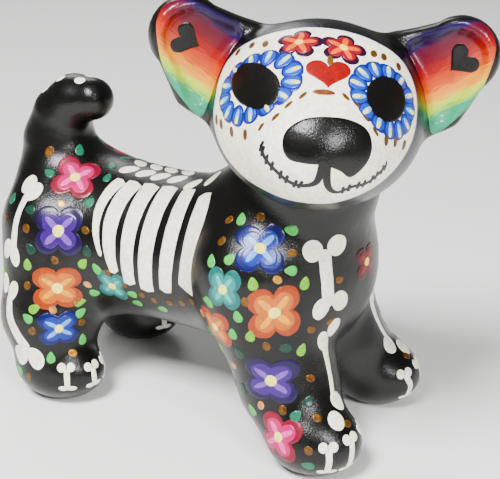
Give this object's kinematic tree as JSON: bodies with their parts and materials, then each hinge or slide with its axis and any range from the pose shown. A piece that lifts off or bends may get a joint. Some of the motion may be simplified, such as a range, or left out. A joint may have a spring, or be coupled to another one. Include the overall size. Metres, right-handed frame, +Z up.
{
  "type": "papier-mache dog figure",
  "caption": "Small standing papier-mache dog with a turned head and a hooked tail, painted as a Day of the Dead skeleton with flowers.",
  "frame": {"origin": "on the surface the figure stands on, under the middle of its whole outline", "axes": "+Z up; the chest faces -Y and the tail is towards +Y; the dog's own right side is towards -X, and its head is turned to that side"},
  "size_m": [0.0919, 0.1599, 0.1415],
  "materials": {
    "face_paint": "cream acrylic paint under gloss varnish, on papier-mache",
    "black_paint": "black acrylic paint under gloss varnish, on papier-mache, with painted flowers, leaves, dots and bones",
    "newsprint": "rolled newspaper, matt",
    "card": "rolled grey-brown card, matt",
    "paste_paper": "torn paper strip soaked in flour paste, matt",
    "wire": "annealed steel tie wire, dull"
  },
  "bodies": {
    "root": {"face_shell": "face_paint", "head_back_shell": "black_paint", "ear_right": "black_paint", "ear_left": "black_paint", "body_right_shell": "black_paint", "body_left_shell": "black_paint", "tail": "black_paint", "front_leg_right_shell": "black_paint", "front_leg_left_shell": "black_paint", "hind_leg_right_shell": "black_paint", "hind_leg_left_shell": "black_paint", "front_leg_core_right": "newsprint", "front_leg_core_left": "newsprint", "hind_leg_core_right": "newsprint", "hind_leg_core_left": "newsprint", "neck_tube": "card", "back_seam_strip": "paste_paper", "belly_seam_strip": "paste_paper", "spine_wire": "wire", "front_leg_wire": "wire", "hind_leg_wire": "wire"}
  },
  "joints": []
}
